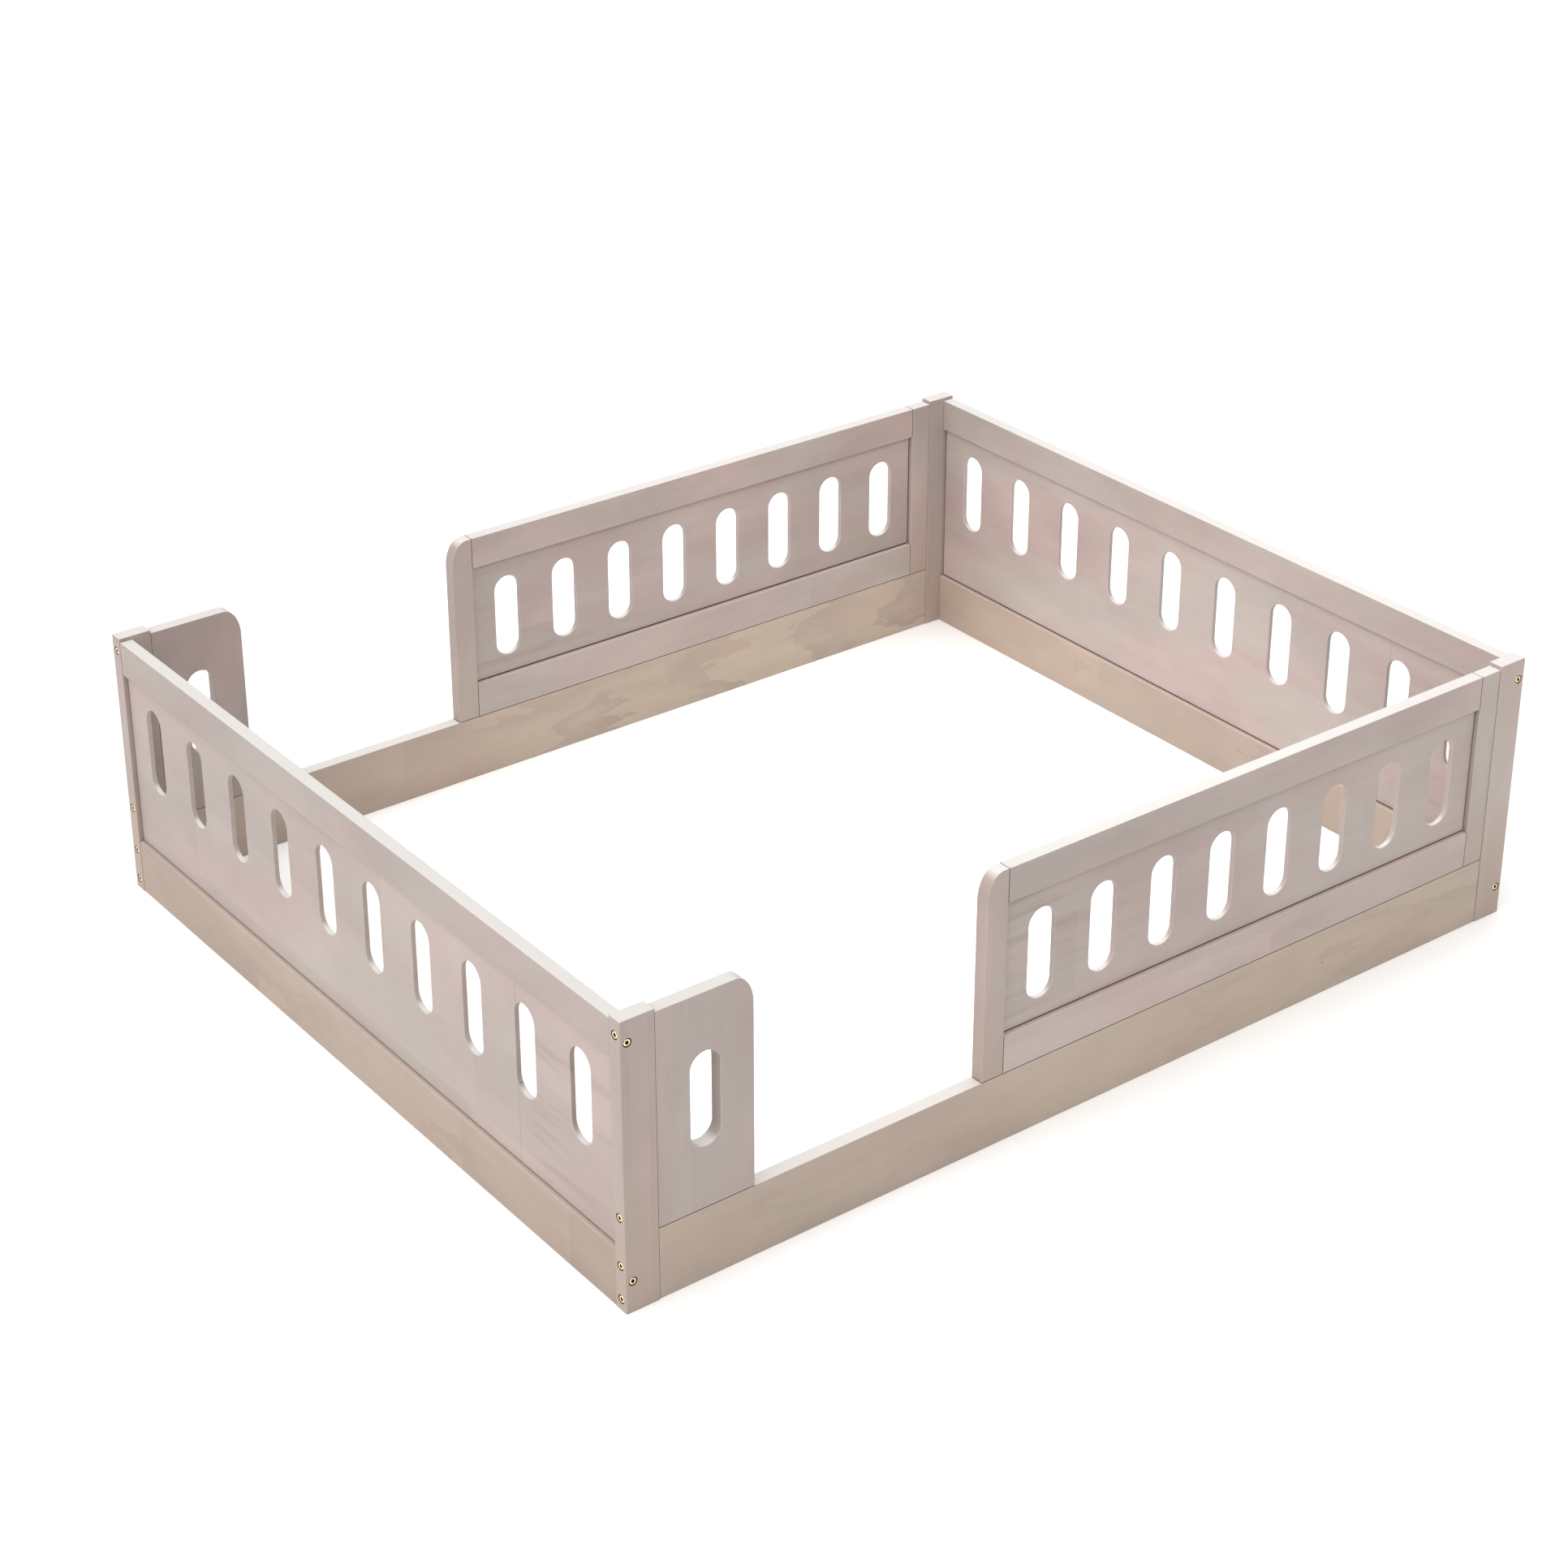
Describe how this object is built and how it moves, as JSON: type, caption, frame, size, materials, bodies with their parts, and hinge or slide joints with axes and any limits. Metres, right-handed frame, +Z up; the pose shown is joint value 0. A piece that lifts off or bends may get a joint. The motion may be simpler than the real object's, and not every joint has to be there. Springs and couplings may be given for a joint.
{
  "type": "playpen",
  "caption": "Low wooden playpen: slotted panels bolted between four corner posts, with an open doorway in each long side above a full-length base rail.",
  "frame": {"origin": "on the floor at the centre of the footprint", "axes": "+Z up, +X along the long sides from the doorway end to the panel end, +Y from the front long side to the back long side"},
  "size_m": [2, 1.646, 0.535],
  "materials": {
    "panel_wood": "whitewashed satin lacquer, pinkish grey",
    "rail_wood": "whitewashed satin lacquer, warmer beige with a blotchy figure",
    "dowel_wood": "bare beech",
    "bolt_brass": "bright brass plate"
  },
  "bodies": {
    "root": {"base_rail_back": "rail_wood", "base_rail_front": "rail_wood", "bottom_rail_back": "panel_wood", "bottom_rail_front": "panel_wood", "bottom_rail_left": "rail_wood", "bottom_rail_right": "rail_wood", "dowel_back_1": "dowel_wood", "dowel_back_2": "dowel_wood", "dowel_back_3": "dowel_wood", "dowel_back_4": "dowel_wood", "dowel_front_1": "dowel_wood", "dowel_front_2": "dowel_wood", "dowel_front_3": "dowel_wood", "dowel_front_4": "dowel_wood", "edge_bolt_back_left_1": "bolt_brass", "edge_bolt_back_left_2": "bolt_brass", "edge_bolt_back_left_3": "bolt_brass", "edge_bolt_back_left_4": "bolt_brass", "edge_bolt_back_right_1": "bolt_brass", "edge_bolt_back_right_2": "bolt_brass", "edge_bolt_back_right_3": "bolt_brass", "edge_bolt_back_right_4": "bolt_brass", "edge_bolt_front_left_1": "bolt_brass", "edge_bolt_front_left_2": "bolt_brass", "edge_bolt_front_left_3": "bolt_brass", "edge_bolt_front_left_4": "bolt_brass", "edge_bolt_front_right_1": "bolt_brass", "edge_bolt_front_right_2": "bolt_brass", "edge_bolt_front_right_3": "bolt_brass", "edge_bolt_front_right_4": "bolt_brass", "face_bolt_back_left_1": "bolt_brass", "face_bolt_back_left_2": "bolt_brass", "face_bolt_back_right_1": "bolt_brass", "face_bolt_back_right_2": "bolt_brass", "face_bolt_front_left_1": "bolt_brass", "face_bolt_front_left_2": "bolt_brass", "face_bolt_front_right_1": "bolt_brass", "face_bolt_front_right_2": "bolt_brass", "gate_stile_back": "panel_wood", "gate_stile_front": "panel_wood", "post_back_left": "panel_wood", "post_back_right": "panel_wood", "post_front_left": "panel_wood", "post_front_right": "panel_wood", "post_stile_back": "panel_wood", "post_stile_front": "panel_wood", "slotted_panel_back": "panel_wood", "slotted_panel_front": "panel_wood", "slotted_panel_left": "panel_wood", "slotted_panel_right": "panel_wood", "stub_panel_back": "panel_wood", "stub_panel_front": "panel_wood", "top_rail_back": "panel_wood", "top_rail_front": "panel_wood", "top_rail_left": "panel_wood", "top_rail_right": "panel_wood"}
  },
  "joints": []
}
